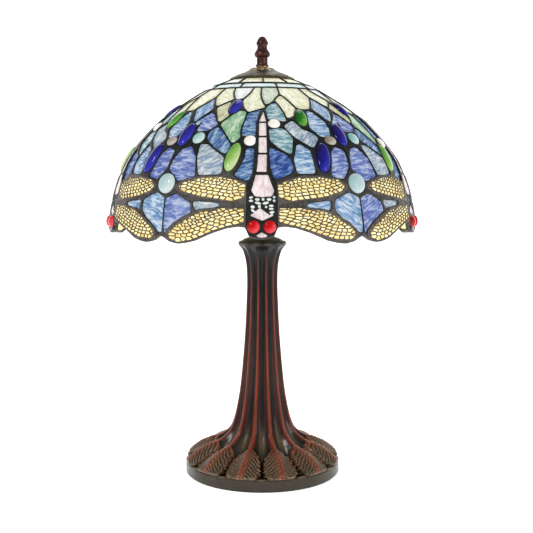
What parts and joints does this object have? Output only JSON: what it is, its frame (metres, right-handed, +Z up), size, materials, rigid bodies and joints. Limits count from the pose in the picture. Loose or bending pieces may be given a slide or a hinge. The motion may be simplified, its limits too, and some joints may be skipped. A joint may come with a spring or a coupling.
{
  "type": "table lamp",
  "caption": "Table lamp with a leaded glass dome of dragonflies on a fluted cast trunk with a leaf foot; the shade lifts off its harp.",
  "frame": {"origin": "centre of the felt's underside, on the table", "axes": "+Z up the lamp's axis, -Y towards the front, +X to the viewer's right"},
  "size_m": [0.3054, 0.3083, 0.4377],
  "materials": {
    "bronze": "dark bronze patina with red-brown ribs",
    "felt": "felt",
    "rubber": "satin",
    "steel": "zinc plated",
    "brass": "satin",
    "antique_brass": "dark antique patina",
    "phenolic": "moulded",
    "fibre": "paper fibre liner",
    "bulb_glass": "clear",
    "art_glass": "streaky rippled opalescent glass in copper foil",
    "wing_overlay": "patinated filigree over pale yellow glass",
    "ruby_jewel": "polished cabochon",
    "sky_jewel": "polished cabochon",
    "russet": "red-brown patina"
  },
  "bodies": {
    "stand": {"base_casting": "bronze", "felt_pad": "felt", "cord_grommet": "rubber", "lamp_pipe": "steel", "bottom_washer": "steel", "bottom_lock_washer": "steel", "bottom_nut": "steel", "crown_plate": "bronze", "crown_nut": "brass", "harp_saddle": "brass", "harp_bow": "brass", "socket_cap": "brass", "socket_body": "phenolic", "socket_shell": "brass", "socket_insulator": "fibre", "socket_screw_shell": "brass", "socket_centre_contact": "brass"},
    "switch": {"switch_stem": "brass", "switch_knob": "phenolic"},
    "bulb": {"bulb_glass": "bulb_glass", "bulb_base": "steel", "bulb_contact": "steel", "bulb_stem": "bulb_glass"},
    "ferrule_front": {"harp_ferrule_front": "brass"},
    "ferrule_back": {"harp_ferrule_back": "brass"},
    "swivel": {"harp_stud": "brass"},
    "shade": {"shade_panel_1": "art_glass", "shade_panel_2": "art_glass", "shade_panel_3": "art_glass", "shade_panel_4": "art_glass", "shade_panel_5": "art_glass", "dragonfly_1": "wing_overlay", "dragonfly_2": "wing_overlay", "dragonfly_3": "wing_overlay", "dragonfly_4": "wing_overlay", "dragonfly_5": "wing_overlay", "eye_1_left": "ruby_jewel", "eye_1_right": "ruby_jewel", "eye_2_left": "ruby_jewel", "eye_2_right": "ruby_jewel", "eye_3_left": "ruby_jewel", "eye_3_right": "ruby_jewel", "eye_4_left": "ruby_jewel", "eye_4_right": "ruby_jewel", "eye_5_left": "ruby_jewel", "eye_5_right": "ruby_jewel", "sky_jewel_1": "sky_jewel", "sky_jewel_2": "sky_jewel", "sky_jewel_3": "sky_jewel", "sky_jewel_4": "sky_jewel", "sky_jewel_5": "sky_jewel", "shade_cap": "antique_brass", "shade_top_ring": "brass"},
    "finial": {"finial": "russet", "finial_insert": "brass", "finial_washer": "brass"}
  },
  "joints": [
    {"name": "harp_swivel", "type": "hinge", "parent": "stand", "child": "swivel", "pos_m": [0, 0, 0.3965], "axis": [0, 0, 1], "continuous": true},
    {"name": "shade_lift", "type": "slide", "parent": "swivel", "child": "shade", "axis": [0, 0, 1], "range_m": [0, 0.19]},
    {"name": "finial_turn", "type": "hinge", "parent": "shade", "child": "finial", "pos_m": [0, 0, 0.415], "axis": [0, 0, 1], "continuous": true},
    {"name": "bulb_turn", "type": "hinge", "parent": "stand", "child": "bulb", "pos_m": [0, 0, 0.285], "axis": [0, 0, 1], "continuous": true},
    {"name": "switch_turn", "type": "hinge", "parent": "stand", "child": "switch", "pos_m": [0.02, 0, 0.2651], "axis": [1, 0, 0], "continuous": true},
    {"name": "ferrule_front_lift", "type": "slide", "parent": "stand", "child": "ferrule_front", "axis": [0, 0, 1], "range_m": [0, 0.012]},
    {"name": "ferrule_back_lift", "type": "slide", "parent": "stand", "child": "ferrule_back", "axis": [0, 0, 1], "range_m": [0, 0.012]}
  ]
}
